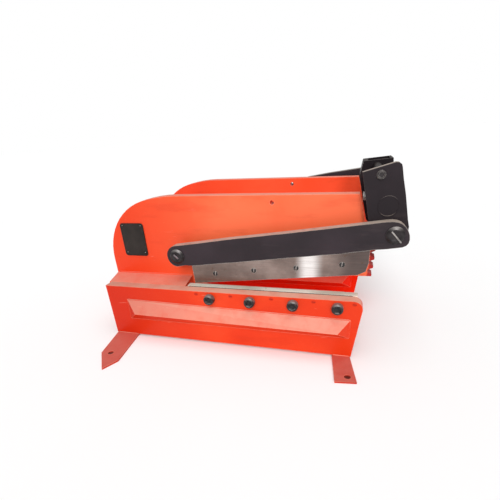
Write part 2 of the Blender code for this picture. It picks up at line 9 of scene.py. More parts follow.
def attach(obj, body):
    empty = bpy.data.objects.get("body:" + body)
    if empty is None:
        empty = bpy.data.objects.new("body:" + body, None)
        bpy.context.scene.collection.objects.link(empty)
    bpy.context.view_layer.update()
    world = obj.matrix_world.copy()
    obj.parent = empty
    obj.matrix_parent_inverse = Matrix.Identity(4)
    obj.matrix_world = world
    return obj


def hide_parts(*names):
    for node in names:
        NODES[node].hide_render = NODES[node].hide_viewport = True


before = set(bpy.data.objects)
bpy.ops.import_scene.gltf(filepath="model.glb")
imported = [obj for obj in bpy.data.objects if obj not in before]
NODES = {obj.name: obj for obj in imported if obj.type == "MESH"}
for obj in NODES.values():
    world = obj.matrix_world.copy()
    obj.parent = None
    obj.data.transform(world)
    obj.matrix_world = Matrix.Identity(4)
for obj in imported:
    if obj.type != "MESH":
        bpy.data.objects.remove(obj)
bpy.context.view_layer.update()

MM = 0.001
scene = bpy.context.scene
collection = scene.collection

# Measures are in millimetres from the left end of the front lower plate: x along the plate,
# y back from its front face and z up from the ledge. Pairs are (x, z) unless they say more.
LEDGE = 102.8                        # ledge height above the bench
MIDDLE = (243.05, 115.45)            # x and y of the middle of the machine
T_PLATE = 18.2                       # lower plate thickness
BODY_H = 99.5                        # lower body height
Y_FRAME, T_FRAME = 68.3, 19.7        # front frame plate: front face, thickness
SHIFT_BACK = 203.0                   # the rear frame repeats the front one this far back
CHEEK_Y = 46.3                       # front face of the front cheek
HINGE = (140.0, 50.0)                # arm hinge axis
HEAD = (486.1, 92.9)                 # head shaft axis
SHAFT_FRONT, SHAFT_END = 26.0, 343.5          # both shafts, in y
CORNER_TUBE = (62.0, 95.0)           # corner distance tube axis
CROSS = (459.6, 171.9)               # cheek bolt
PLUG = (473.5, 129.5)                # round plug in the front cheek
SCREW_X, SCREW_Z = (206.0, 276.5, 347.0, 415.5), -12.0
ADJUST_X, ADJUST_Z = (181.0, 243.0, 312.0, 379.0, 440.0), -5.2
UPPER_SCREWS = ((208.0, 21.5), (277.0, 30.5), (347.0, 38.0), (417.0, 46.5))
STRAP_HOLES = ((32.0, -68.0), (437.5, -53.0))         # x and y
NAME_X, NAME_Z, NAME_Y = (9.8, 58.7), (36.0, 98.2), 66.8    # sides, ends and front face
NAME_RIVETS = ((15.0, 41.5), (53.5, 41.5), (53.5, 92.7), (15.0, 92.7))


def at(x, y, z):
    """A point in millimetres from the lower plate's corner, as metres in the frame."""
    return Vector(((x - MIDDLE[0]) * MM, (y - MIDDLE[1]) * MM, (z + LEDGE) * MM))


# ------------------------------------------------------------------ camera
PLATE_LENGTH = 450.0
CAMERA_AT = (0.935, -1.067, 0.517)       # in plate lengths
YAW, PITCH, ROLL = 18.06, 27.33, -3.98   # degrees
FOCAL = 339.6 / 500.0                    # of the picture's width
SHIFT = (0.0132, 0.1194)
SENSOR = 36.0

camera_data = bpy.data.cameras.new("camera")
camera_data.sensor_width = SENSOR
camera_data.lens = SENSOR * FOCAL
camera_data.shift_x, camera_data.shift_y = SHIFT
camera_data.clip_start = 10.0 * MM
camera = bpy.data.objects.new("camera", camera_data)
collection.objects.link(camera)
camera.matrix_world = (Matrix.Translation(at(*[PLATE_LENGTH * c for c in CAMERA_AT]))
                       @ Matrix.Rotation(math.radians(YAW), 4, "Z")
                       @ Matrix.Rotation(math.radians(90.0 - PITCH), 4, "X")
                       @ Matrix.Rotation(math.radians(ROLL), 4, "Z"))
scene.camera = camera

scene.view_settings.view_transform = "Standard"


# ------------------------------------------------------------------ materials
class Nodes:
    """A small helper that builds a node material."""

    def __init__(self, name):
        self.mat = bpy.data.materials.new(name)
        self.mat.use_nodes = True
        self.tree = self.mat.node_tree
        self.bsdf = self.tree.nodes["Principled BSDF"]
        coord = self.tree.nodes.new("ShaderNodeTexCoord")
        self.where = coord.outputs["Object"]
        self.facing = coord.outputs["Normal"]

    def node(self, kind, inputs=(), **props):
        made = self.tree.nodes.new(kind)
        for key, value in props.items():
            setattr(made, key, value)
        for key, value in dict(inputs).items():
            if isinstance(value, bpy.types.NodeSocket):
                self.tree.links.new(value, made.inputs[key])
            else:
                made.inputs[key].default_value = value
        return made

    def stretch(self, scale):
        return self.node("ShaderNodeMapping", {"Vector": self.where, "Scale": scale}).outputs[0]

    def noise(self, scale, detail=3.0, rough=0.55, vector=None):
        made = self.node("ShaderNodeTexNoise", {"Vector": vector or self.where, "Scale": scale,
                                                "Detail": detail, "Roughness": rough})
        return made.outputs["Fac"]

    def ramp(self, value, low, high, to_low=0.0, to_high=1.0):
        made = self.node("ShaderNodeMapRange",
                         {"Value": value, "From Min": low, "From Max": high,
                          "To Min": to_low, "To Max": to_high})
        made.interpolation_type = "SMOOTHSTEP"
        return made.outputs["Result"]

    def maths(self, operation, a, b=0.0, clamp=True):
        return self.node("ShaderNodeMath", {0: a, 1: b}, operation=operation,
                         use_clamp=clamp).outputs[0]

    def times(self, *factors):
        total = factors[0]
        for factor in factors[1:]:
            total = self.maths("MULTIPLY", total, factor)
        return total

    def mix(self, factor, a, b):
        made = self.node("ShaderNodeMix", data_type="RGBA")
        for index, value in ((0, factor), (6, a), (7, b)):
            if isinstance(value, bpy.types.NodeSocket):
                self.tree.links.new(value, made.inputs[index])
            else:
                made.inputs[index].default_value = value
        return made.outputs[2]

    def put(self, name, value):
        socket = self.bsdf.inputs[name]
        if isinstance(value, bpy.types.NodeSocket):
            self.tree.links.new(value, socket)
        else:
            socket.default_value = value

    def bump(self, *layers):
        """Bump from (height, strength, distance) layers, coarse first."""
        normal = None
        for height, strength, distance in layers:
            inputs = {"Height": height, "Strength": strength, "Distance": distance}
            if normal is not None:
                inputs["Normal"] = normal
            normal = self.node("ShaderNodeBump", inputs).outputs["Normal"]
        self.put("Normal", normal)

    def edge(self, radius):
        """1 on convex and concave edges and 0 on flats, from rounded normals."""
        bevel = self.node("ShaderNodeBevel", {"Radius": radius}, samples=6)
        plain = self.node("ShaderNodeNewGeometry").outputs["Normal"]
        dot = self.node("ShaderNodeVectorMath", {0: bevel.outputs["Normal"], 1: plain},
                        operation="DOT_PRODUCT").outputs["Value"]
        return self.ramp(dot, 0.995, 0.90)

    def axis(self, vector, index):
        return self.node("ShaderNodeSeparateXYZ", {0: vector}).outputs[index]

    def upward(self, low=0.35, high=0.85):
        return self.ramp(self.axis(self.facing, 2), low, high)


def colour(r, g, b):
    return (r, g, b, 1.0)


# These are in metres in the frame, because the materials read object coordinates.
LEFT_SHADE_X = (-0.24, 0.0)               # painted shade: the enamel is painted darker towards the left end and lightens along the frame between these
HINGE_AT = (-0.10305, 0.0, 0.1528)   # arm hinge axis
TOOTH_ROOT, TOOTH_TIP = 0.3165, 0.3200       # distances from the hinge axis
HIGHLIGHT_BAND_X, HIGHLIGHT_BAND_HALF = 0.124, (0.024, 0.003)    # painted highlight: a bright band painted across the upper blade
TIP_DARKENING_X, HEEL_DARKENING_X = (0.150, 0.190), (0.0, -0.07)


def orange_paint(name, left, base, deep, dust_and_highlight=0.75, dust_and_highlight_facing=(0.35, 0.85),
                 dust_and_highlight_tone=(0.76, 0.31, 0.23), left_dust_shade=1.0, wear_and_highlight=1.0, shine=0.2,
                 greased=False):
    """Brushed-on orange enamel: mottled, painted darker towards the left end as painted shade,
    paler on top from dust and a painted highlight, and worn along its edges, where the pale rim is
    also a painted highlight.
    """
    n = Nodes(name)
    patch = n.ramp(n.noise(7.0, 4.0), 0.36, 0.66)
    # Painted shade: the enamel darkens towards the left end of the frame, where less light falls.
    left_shade = n.ramp(n.axis(n.where, 0), *LEFT_SHADE_X)
    paint = n.mix(left_shade, left, n.mix(patch, base, deep))
    streak = n.ramp(n.noise(26.0, 4.0, 0.6, n.stretch((0.35, 1.0, 1.6))), 0.52, 0.72)
    paint = n.mix(n.times(streak, 0.24), paint, colour(0.48, 0.020, 0.006))
    fleck = n.ramp(n.noise(330.0, 3.0, 0.7), 0.60, 0.74)
    paint = n.mix(n.times(fleck, 0.16), paint, colour(0.93, 0.22, 0.10))
    # Dust and painted highlight: upward faces are mixed towards a pale pinkish tone.
    top_dust_and_highlight = n.times(n.upward(*dust_and_highlight_facing),
                      n.ramp(n.noise(38.0, 5.0, 0.65), 0.22, 0.62, 0.62, 1.0), dust_and_highlight)
    # The dust tone darkens towards the left end too, as painted shade.
    left_shaded_dust_tone = colour(*[left_dust_shade * part for part in dust_and_highlight_tone])
    paint = n.mix(top_dust_and_highlight, paint, n.mix(left_shade, left_shaded_dust_tone, colour(*dust_and_highlight_tone)))
    # Pale edges: wear, which also serves as a painted highlight on the chamfered top edges.
    rim = n.times(n.edge(0.0016), n.ramp(n.noise(45.0, 4.0), 0.30, 0.55, 0.15, 1.0), 0.5 * wear_and_highlight)
    paint = n.mix(rim, paint, colour(0.93, 0.40, 0.27))
    chip = n.times(n.edge(0.0008), n.ramp(n.noise(110.0, 5.0), 0.62, 0.66))
    paint = n.mix(n.times(chip, 0.8 * wear_and_highlight), paint, colour(0.20, 0.11, 0.09))
    scuff = n.ramp(n.noise(70.0, 6.0, 0.7, n.stretch((0.25, 1.0, 2.6))), 0.665, 0.70)
    paint = n.mix(n.times(scuff, 0.30 * wear_and_highlight), paint, colour(0.95, 0.45, 0.32))
    if greased:
        away = n.node("ShaderNodeVectorMath", {0: n.where, 1: HINGE_AT}, operation="SUBTRACT")
        flat = n.node("ShaderNodeVectorMath", {0: away.outputs[0], 1: (1.0, 0.0, 1.0)},
                      operation="MULTIPLY")
        reach = n.node("ShaderNodeVectorMath", {0: flat.outputs[0]},
                       operation="LENGTH").outputs["Value"]
        smear = n.times(n.ramp(reach, TOOTH_ROOT, TOOTH_TIP),
                        n.ramp(n.noise(60.0, 4.0), 0.25, 0.6, 0.7, 1.0))
        paint = n.mix(smear, paint, colour(0.42, 0.016, 0.014))
    n.put("Base Color", paint)
    gloss = n.ramp(n.noise(22.0, 4.0), 0.2, 0.8, 0.30, 0.46)
    n.put("Roughness", n.maths("ADD", gloss, n.times(top_dust_and_highlight, 0.25)))
    n.put("Specular IOR Level", shine)
    n.put("Coat Weight", 0.04)
    n.put("Coat Roughness", 0.2)
    n.bump((n.noise(32.0, 3.0), 0.12, 0.0012), (n.noise(420.0, 2.0, 0.5), 0.10, 0.0004))
    return n.mat


def black_paint(name, dust_and_highlight=0.8, worn_edge=0.8, depth=1.0):
    """Black enamel on flame-cut bar: slightly purple, paler along the top from dust and a painted
    highlight, and rubbed pale on its edges.
    """
    n = Nodes(name)
    tone = n.ramp(n.noise(11.0, 5.0), 0.3, 0.72)
    paint = n.mix(tone, colour(0.0150 * depth, 0.0090 * depth, 0.0122 * depth),
                  colour(0.0290 * depth, 0.0180 * depth, 0.0235 * depth))
    smear = n.ramp(n.noise(30.0, 5.0, 0.65, n.stretch((0.3, 1.0, 1.3))), 0.55, 0.75)
    paint = n.mix(n.times(smear, 0.25 * depth), paint, colour(0.085, 0.060, 0.060))
    # Dust and painted highlight: upward faces are mixed towards a pale beige.
    top_dust_and_highlight = n.times(n.upward(0.45, 0.9),
                      n.ramp(n.noise(60.0, 5.0, 0.65), 0.20, 0.55, 0.55, 1.0), dust_and_highlight)
    paint = n.mix(top_dust_and_highlight, paint, colour(0.54, 0.44, 0.37))
    if worn_edge:
        # Pale edges: wear, which also serves as a painted highlight on the top edges.
        wear_and_highlight = n.times(n.edge(0.0014), n.ramp(n.noise(50.0, 5.0, 0.6), 0.33, 0.60), worn_edge)
        paint = n.mix(wear_and_highlight, paint, colour(0.36, 0.31, 0.28))
        n.put("Metallic", n.times(wear_and_highlight, 0.5))
    n.put("Base Color", paint)
    n.put("Roughness", n.ramp(n.noise(36.0, 4.0), 0.25, 0.8, 0.36, 0.60))
    n.put("Specular IOR Level", 0.30 * depth)
    n.bump((n.noise(48.0, 4.0), 0.20, 0.0012), (n.noise(300.0, 3.0, 0.6), 0.20, 0.0005))
    return n.mat


def blade_steel(name, dark, mid, painted_highlight_band=None, metallic=1.0):
    """Ground tool steel: fine lines along the blade; given a band colour, it also gets a painted
    highlight band and darkens towards its ends.
    """
    n = Nodes(name)
    lines = n.noise(900.0, 3.0, 0.7, n.stretch((0.02, 1.0, 1.0)))
    coarse = n.noise(260.0, 3.0, 0.6, n.stretch((0.03, 1.0, 1.0)))
    cloud = n.ramp(n.noise(16.0, 5.0, 0.6, n.stretch((0.7, 1.0, 1.0))), 0.34, 0.66)
    steel = n.mix(cloud, mid, dark)
    if painted_highlight_band is not None:
        # Painted highlight: a bright band across the blade stands for a reflected light, and the
        # metal there is less metallic.
        along = n.axis(n.where, 0)
        away = n.maths("ABSOLUTE", n.maths("SUBTRACT", along, HIGHLIGHT_BAND_X, clamp=False), clamp=False)
        shine = n.ramp(away, *HIGHLIGHT_BAND_HALF)
        steel = n.mix(n.times(shine, 0.9), steel, painted_highlight_band)
        metallic = n.ramp(shine, 0.2, 1.0, metallic, 0.55)
        # The blade is darker towards both ends.
        tip = n.ramp(along, *TIP_DARKENING_X)
        steel = n.mix(n.times(tip, 0.8), steel, colour(0.066, 0.050, 0.049))
        heel = n.ramp(along, *HEEL_DARKENING_X)
        steel = n.mix(n.times(heel, 0.5), steel, colour(0.145, 0.100, 0.082))
    steel = n.mix(n.ramp(lines, 0.42, 0.66, 0.0, 0.26), steel, dark)
    spot = n.ramp(n.noise(95.0, 5.0, 0.65), 0.63, 0.72)
    steel = n.mix(n.times(spot, 0.5), steel, colour(0.13, 0.075, 0.045))
    edge = n.edge(0.0006)
    steel = n.mix(n.times(edge, 0.7), steel, colour(0.80, 0.78, 0.74))
    n.put("Base Color", steel)
    n.put("Metallic", metallic)
    n.put("Roughness", n.ramp(coarse, 0.3, 0.7, 0.26, 0.42))
    n.bump((coarse, 0.10, 0.0003), (lines, 0.20, 0.0002))
    return n.mat


def dark_metal(name, low, high, metallic=0.85, wear_and_highlight_tone=(0.62, 0.58, 0.54), worn_edge=0.5,
               top=0.75, grimy=0.5):
    """Oiled black or plated steel, bright along edges where a spanner or key has rubbed it, and
    bright on its upward faces as a painted highlight.
    """
    n = Nodes(name)
    tone = n.ramp(n.noise(90.0, 4.0), 0.3, 0.7)
    metal = n.mix(tone, low, high)
    wear_and_highlight = n.times(n.edge(0.0008), n.ramp(n.noise(150.0, 4.0), 0.32, 0.58, 0.2, 1.0), worn_edge)
    # Painted highlight: upward faces are mixed towards the bright tone by top, as if lit from
    # above.
    wear_and_highlight = n.maths("ADD", wear_and_highlight, n.times(n.upward(0.30, 0.75), top))
    metal = n.mix(wear_and_highlight, metal, colour(*wear_and_highlight_tone))
    grime = n.ramp(n.noise(200.0, 4.0, 0.6), 0.58, 0.70)
    metal = n.mix(n.times(grime, grimy), metal, colour(0.030, 0.022, 0.018))
    n.put("Base Color", metal)
    n.put("Metallic", metallic)
    n.put("Roughness", n.ramp(n.noise(130.0, 3.0), 0.3, 0.7, 0.28, 0.46))
    n.bump((n.noise(420.0, 3.0), 0.14, 0.0003))
    return n.mat


def nameplate_enamel(name):
    """Blank black plate, faintly rubbed on a slant."""
    n = Nodes(name)
    tone = n.ramp(n.noise(40.0, 5.0), 0.3, 0.7)
    plate = n.mix(tone, colour(0.011, 0.008, 0.006), colour(0.022, 0.016, 0.013))
    turned = n.node("ShaderNodeMapping", {"Vector": n.where, "Rotation": (0.0, 0.8, 0.0)})
    slanted = n.node("ShaderNodeMapping", {"Vector": turned.outputs[0],
                                           "Scale": (0.12, 1.0, 1.0)}).outputs[0]
    scuff = n.ramp(n.noise(150.0, 4.0, 0.7, slanted), 0.55, 0.75)
    plate = n.mix(n.times(scuff, 0.10), plate, colour(0.20, 0.16, 0.14))
    n.put("Base Color", plate)
    n.put("Roughness", n.ramp(n.noise(60.0, 4.0), 0.3, 0.7, 0.34, 0.52))
    n.put("Specular IOR Level", 0.28)
    n.bump((n.noise(200.0, 3.0), 0.08, 0.0003))
    return n.mat


# The first colour of each orange set is painted shade, reached towards the left end of the frame.
BRIGHT_ORANGE = (colour(0.72, 0.046, 0.009), colour(0.96, 0.160, 0.062),
                 colour(0.93, 0.122, 0.042))
# Painted light: the rear frame parts get their own, redder copy of the frame enamel with a
# brighter left end, to match how they are lit.
REAR_FRAME_LIT_ORANGE = (colour(0.80, 0.050, 0.012), colour(0.97, 0.105, 0.036),
               colour(0.95, 0.085, 0.026))
# Painted shade: the lower front plate, its stiffener and seat bar get a darker copy of the enamel,
# as they get less light than the frame plates.
SHADED_LOWER_ORANGE = (colour(0.56, 0.021, 0.004), colour(0.77, 0.058, 0.013),
               colour(0.70, 0.038, 0.007))
# Painted light: the rear lower plate, its stiffener and seat bar get a brighter, redder copy of
# the enamel, to light them where they lie in shade behind the front plates.
BRIGHTENED_REAR_ORANGE = (colour(0.95, 0.018, 0.001),) * 2 + (colour(0.90, 0.012, 0.001),)
STRAP_ORANGE = (colour(0.50, 0.024, 0.010), colour(0.56, 0.030, 0.012),
                colour(0.48, 0.020, 0.008))
FILLED = (colour(0.60, 0.030, 0.007),) * 3
# Painted shade: the dark red of the adjusting screws' slots.
SLOT_SHADE_RED = (colour(0.30, 0.014, 0.007),) * 3
MATERIALS = {
    "orange": orange_paint("orange_enamel", *BRIGHT_ORANGE, dust_and_highlight_facing=(0.72, 0.97), greased=True),
    "back": orange_paint("orange_enamel_back_lit", *REAR_FRAME_LIT_ORANGE, dust_and_highlight_facing=(0.72, 0.97), greased=True),
    "deep": orange_paint("orange_enamel_lower_shaded", *SHADED_LOWER_ORANGE, 0.9,
                         dust_and_highlight_tone=(0.74, 0.40, 0.30), left_dust_shade=0.76, shine=0.14),
    "rear_brightened": orange_paint("orange_enamel_rear_brightened", *BRIGHTENED_REAR_ORANGE, 0.6,
                           dust_and_highlight_tone=(0.70, 0.22, 0.15), shine=0.06),
    "strap": orange_paint("orange_enamel_strap", *STRAP_ORANGE, 0.6,
                          dust_and_highlight_tone=(0.60, 0.18, 0.14), shine=0.14),
    "filled": orange_paint("orange_enamel_filled", *FILLED, 0.0, wear_and_highlight=0.0, shine=0.14),
    "plug": orange_paint("orange_enamel_slot_shade", *SLOT_SHADE_RED, 0.0, wear_and_highlight=0.0, shine=0.1),
    "black": black_paint("black_enamel"),
    "rear_black": black_paint("black_enamel_rear", 0.40, 0.55),
    "cheek": black_paint("black_enamel_cheek", 0.75, 0.16, 0.75),
    "bead": black_paint("black_enamel_bead", 0.50, 0.0, 0.75),
    # Painted shade: the handle socket, the blade carrier, the sleeves and the front cross tube get
    # darker, less shiny copies of the black enamel.
    "socket": black_paint("black_enamel_socket_shaded", 0.06, 0.10, 0.45),
    "plain_black": black_paint("black_enamel_plain_shaded", 0.05, 0.05, 0.40),
    # The third colour is the painted highlight band.
    "upper": blade_steel("ground_blade_steel", colour(0.20, 0.150, 0.132),
                         colour(0.40, 0.310, 0.275), colour(0.95, 0.92, 0.90)),
    "lower": blade_steel("ground_lower_blade_steel", colour(0.60, 0.60, 0.50),
                         colour(0.92, 0.91, 0.80), None, 0.20),
    "dark": dark_metal("black_oxide_steel", colour(0.022, 0.020, 0.021),
                       colour(0.050, 0.046, 0.047), 0.75),
    "screw": dark_metal("black_oxide_screw", colour(0.014, 0.012, 0.013),
                        colour(0.034, 0.030, 0.031), 0.5, (0.42, 0.38, 0.36), 0.3, 0.55),
    "cap": dark_metal("oiled_cap_steel", colour(0.020, 0.017, 0.018),
                      colour(0.044, 0.038, 0.039), 0.7, (0.46, 0.42, 0.40), 0.5, 0.55),
    "gear": dark_metal("gear_steel", colour(0.060, 0.052, 0.046), colour(0.13, 0.115, 0.10),
                       top=0.3),
    "zinc": dark_metal("zinc_plated_steel", colour(0.42, 0.41, 0.40), colour(0.66, 0.65, 0.62),
                       0.95, (0.85, 0.84, 0.82)),
    # Painted highlight: the bright key steel stands for glints on the head shaft's cap and the
    # upper screws.
    "key": dark_metal("glint_key_steel", colour(0.26, 0.24, 0.23), colour(0.42, 0.39, 0.37), 0.9),
    "worn_key": dark_metal("dull_key_steel", colour(0.16, 0.13, 0.14), colour(0.26, 0.21, 0.22),
                           0.8, (0.40, 0.34, 0.33), 0.4, 0.3),
    "name": nameplate_enamel("nameplate_enamel"),
    # Painted shade: a dark red-brown for the discs that darken the strap holes.
    "hole_shade": dark_metal("hole_painted_shade", colour(0.075, 0.012, 0.008), colour(0.14, 0.020, 0.012),
                       0.0, (0.16, 0.03, 0.02), 0.2, 0.1),
    # Painted shade: a dark line along the lower blade's joint with its plate.
    "joint_shade": dark_metal("joint_painted_shade", colour(0.050, 0.042, 0.032), colour(0.090, 0.078, 0.060),
                       0.0, (0.20, 0.17, 0.14), 0.2, 0.1),
    "bolt": dark_metal("bolt_black", colour(0.018, 0.014, 0.016), colour(0.036, 0.029, 0.031),
                       0.35, (0.30, 0.27, 0.25), 1.0, 0.2, 0.1),
}


SHARP = math.radians(33.0)           # CAD edges sharper than this are rounded or kept crisp


def dress(name, material, bevel=0.0, segments=3):
    """Gives a CAD node its surface, and rounds its sharp edges."""
    node = NODES[name]
    if not node.material_slots:
        node.data.materials.append(MATERIALS[material])
    for place in node.material_slots:
        place.material = MATERIALS[material]
    if bevel:
        mod = node.modifiers.new("edge", "BEVEL")
        mod.width = bevel * MM
        mod.segments = segments
        mod.limit_method = "ANGLE"
        mod.angle_limit = SHARP
        mod.harden_normals = True
    for poly in node.data.polygons:
        poly.use_smooth = True
    node.data.set_sharp_from_angle(angle=SHARP)


LOWER_SHADED_PARTS = ("front_lower_plate", "front_stiffener", "front_seat_bar")
REAR_BRIGHTENED_PARTS = ("rear_lower_plate", "rear_stiffener", "rear_seat_bar")
ORANGE = ("front_ledge_block", "front_frame_plate")
REAR_FRAME_LIT_PARTS = ("rear_ledge_block", "rear_frame_plate", "hinge_distance_tube", "corner_distance_tube")
PLAIN_BLACK = ("blade_carrier", "front_sleeve", "rear_sleeve", "front_cross_tube")
for name in NODES:
    if name in LOWER_SHADED_PARTS:
        dress(name, "deep", 0.9)
    elif name in REAR_BRIGHTENED_PARTS:
        dress(name, "rear_brightened", 0.9)
    elif name.endswith("strap"):
        dress(name, "strap", 0.6)
    elif name in ORANGE:
        dress(name, "orange", 1.1)
    elif name in REAR_FRAME_LIT_PARTS:
        dress(name, "back", 1.1)
    elif name == "front_link_bar":
        dress(name, "black", 1.2)
    elif name in ("rear_arm_plate", "rear_cheek"):
        dress(name, "rear_black", 1.2)
    elif name == "front_cheek" or name.endswith("plug"):
        dress(name, "cheek", 0.9)
    elif name == "handle_socket":
        dress(name, "socket", 1.2)
    elif name in PLAIN_BLACK:
        dress(name, "plain_black", 0.5)
    elif name in ("lower_blade", "upper_blade"):
        dress(name, name.split("_")[0], 0.4, 2)
    elif name == "nameplate":
        dress(name, "name", 0.3, 2)
    elif name.startswith("blade_adjusting"):
        dress(name, "filled")
    elif name.endswith("stop_screw"):
        dress(name, "zinc", 0.5, 2)
    elif name.endswith("pinion"):
        dress(name, "gear", 0.35, 2)
    elif name.endswith("nut") or name == "cheek_bolt":
        dress(name, "dark", 0.6, 2)
    else:
        dress(name, "dark")


# ------------------------------------------------------------------ added pieces
def finish_piece(bm, name, material, body, smooth=35.0):
    """Turns a bmesh in outline millimetres into a piece that rides on a body."""
    for vert in bm.verts:
        vert.co = at(*vert.co)
    bmesh.ops.recalc_face_normals(bm, faces=bm.faces)
    mesh = bpy.data.meshes.new(name)
    bm.to_mesh(mesh)
    bm.free()
    for poly in mesh.polygons:
        poly.use_smooth = True
    mesh.set_sharp_from_angle(angle=math.radians(smooth))
    mesh.materials.append(MATERIALS[material])
    piece = bpy.data.objects.new(name, mesh)
    collection.objects.link(piece)
    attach(piece, body)
    return piece


def skin(bm, rings, closed_ends=True):
    """Faces between rings of the same length, with n-gon ends."""
    for a, b in zip(rings, rings[1:]):
        for i in range(len(a)):
            j = (i + 1) % len(a)
            bm.faces.new((a[i], a[j], b[j], b[i]))
    if closed_ends:
        bm.faces.new(list(reversed(rings[0])))
        bm.faces.new(rings[-1])


def lathe(bm, x, z, profile, sides=48, shape=None):
    """A turned solid along Y from (radius, y) pairs; shape bends a ring's radius."""
    rings = []
    for r, y in profile:
        ring = []
        for i in range(sides):
            angle = 2.0 * math.pi * i / sides
            radius = shape(r, y, angle) if shape else r
            ring.append(bm.verts.new((x + radius * math.cos(angle), y,
                                      z + radius * math.sin(angle))))
        rings.append(ring)
    skin(bm, rings)


# ---- the weld beads that join the plates
RIPPLE, BEAD_SIDES = 1.7, 9          # distance between a bead's ripples, and its facets
WANDER = 0.12                        # how far a ripple strays from the bead's line


def weld(name, points, radius, seed, material="orange"):
    """A rippled fillet bead along a line of points, half sunk in the joint it fills."""
    rng = random.Random(seed)
    bm = bmesh.new()
    path = [Vector(p) for p in points]
    stations = []
    for start, end in zip(path, path[1:]):
        steps = max(2, int((end - start).length / RIPPLE))
        stations += [start.lerp(end, i / steps) for i in range(steps)]
    stations.append(path[-1])
    rings = []
    for i, place in enumerate(stations):
        ahead = stations[min(i + 1, len(stations) - 1)] - stations[max(i - 1, 0)]
        ahead.normalize()
        side = ahead.cross(Vector((0.31, 0.52, 0.79))).normalized()
        up = ahead.cross(side)
        grow = (0.86, 1.0, 1.06)[i % 3] * rng.uniform(0.94, 1.05)
        if i in (0, len(stations) - 1):
            grow *= 0.55
        wander = side * rng.uniform(-WANDER, WANDER) + up * rng.uniform(-WANDER, WANDER)
        ring = []
        for k in range(BEAD_SIDES):
            angle = 2.0 * math.pi * k / BEAD_SIDES
            off = (side * math.cos(angle) + up * math.sin(angle)) * radius * grow
            ring.append(bm.verts.new(place + wander + off))
        rings.append(ring)
    skin(bm, rings)
    finish_piece(bm, name, material, "frame", 75.0)


def ring_points(centre, y, radius, count=28):
    """A closed ring of points round an axis along Y."""
    turns = [2.0 * math.pi * i / count for i in range(count + 1)]
    return [(centre[0] + radius * math.cos(turn), y, centre[1] + radius * math.sin(turn))
            for turn in turns]


for tag, base, lower in (("front", 0.0, "deep"), ("rear", SHIFT_BACK, "rear_brightened")):
    face, toe = base - 0.3, base - 0.4
    back, foot = base + T_PLATE, base + Y_FRAME - 0.4
    seat_z, strap_z = -BODY_H + 0.6, -99.4
    for joint, start, end, radius, seed, paint in (
            ("stiffener_top", (41.0, face, -25.6), (435.0, face, -32.1), 1.0, 11, lower),
            ("stiffener_low", (41.0, face, -64.9), (435.0, face, -64.9), 1.0, 12, lower),
            ("stiffener_left", (39.9, face, -26.0), (39.9, face, -64.6), 0.9, 13, lower),
            ("stiffener_right", (436.1, face, -33.0), (436.1, face, -64.6), 0.9, 14, lower),
            ("ledge", (-15.0, foot, 0.4), (146.0, foot, 0.4), 1.4, 15, "orange"),
            ("ledge_side", (-3.9, back + 1.0, -0.4), (-4.2, back + 0.6, -50.5), 1.2, 16, "orange"),
            ("seat", (4.0, back + 0.2, seat_z), (408.0, back + 0.2, seat_z), 1.0, 17, "orange"),
            ("left_strap", (3.0, toe, strap_z), (46.0, toe, strap_z), 1.1, 18, lower),
            ("right_strap", (413.0, toe, strap_z), (439.0, toe, strap_z), 1.1, 19, lower)):
        weld(f"{tag}_{joint}_weld", [start, end], radius, seed, paint)
# A dark line, not a weld, is painted shade where the lower blade meets its plate.
weld("lower_blade_shade_line", [(159.5, T_PLATE + 0.1, 0.3), (437.0, T_PLATE + 0.1, 0.3)], 0.65, 24,
     "joint_shade")
inside = (Y_FRAME + T_FRAME + 1.2, SHIFT_BACK + Y_FRAME - 1.2)
for i, y in enumerate(inside):
    weld(f"corner_tube_weld_{i}", ring_points(CORNER_TUBE, y, 14.3), 1.6, 20 + i)
    weld(f"hinge_tube_weld_{i}", ring_points(HINGE, y, 16.3), 1.6, 22 + i)


def rounded_bar(bm, centre, direction, length, width, y0, y1, sides=8):
    """A bar with round ends and softened top edges, drawn in the XZ plane."""
    ahead = Vector((math.cos(direction), math.sin(direction)))
    across = Vector((-ahead.y, ahead.x))
    outline = []
    for sign in (1, -1):
        for i in range(sides + 1):
            angle = math.pi * (i / sides - 0.5)
            outline.append((sign * (length / 2.0 - width / 2.0) + sign * width / 2.0
                            * math.cos(angle), sign * width / 2.0 * math.sin(angle)))
    rings = []
    for shrink, y in ((1.0, y1), (1.0, y0 + 0.35), (0.86, y0 + 0.08), (0.72, y0)):
        ring = []
        for u, v in outline:
            keep = math.copysign(max(0.0, abs(u) - (1.0 - shrink) * width / 2.0), u)
            place = ahead * keep + across * (v * shrink)
            ring.append(bm.verts.new((centre[0] + place.x, y, centre[1] + place.y)))
        rings.append(ring)
    skin(bm, rings)


# ---- socket head cap screws with a knurled head and a hexagon socket
KNURLS, KNURL_R = 72, (8.62, 9.0)    # points round a head; radius in a groove and on a ridge


def hexagon(across, angle, turn):
    """Radius at an angle of a hexagon that measures across its flats."""
    sixth = math.pi / 3.0
    local = (angle - turn) % sixth - sixth / 2.0
    return across / 2.0 / math.cos(local)


def cap_screw(index, x, z, turn):
    """In its profile a 1-tuple stands for the width of the hexagon socket."""
    bm = bmesh.new()

    def shape(r, y, angle):
        if r == "knurl":
            return KNURL_R[round(angle / (2.0 * math.pi) * KNURLS) % 2]
        if isinstance(r, tuple):
            return hexagon(r[0], angle, turn)
        return r

    profile = [(6.0, 26.0), (6.0, -0.35), (8.5, -0.35), ("knurl", -0.7), ("knurl", -8.0),
               (8.3, -8.5), (8.1, -9.3), (7.3, -10.0), (6.3, -10.0), ((11.0,), -10.0),
               ((10.0,), -9.4), ((10.0,), -5.2), (4.2, -5.0), (0.6, -3.8)]
    lathe(bm, x, z, profile, KNURLS, shape)
    piece = finish_piece(bm, f"cap_screw_{index}", "screw", "frame", 30.0)
    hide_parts(f"lower_blade_screw_{index}")


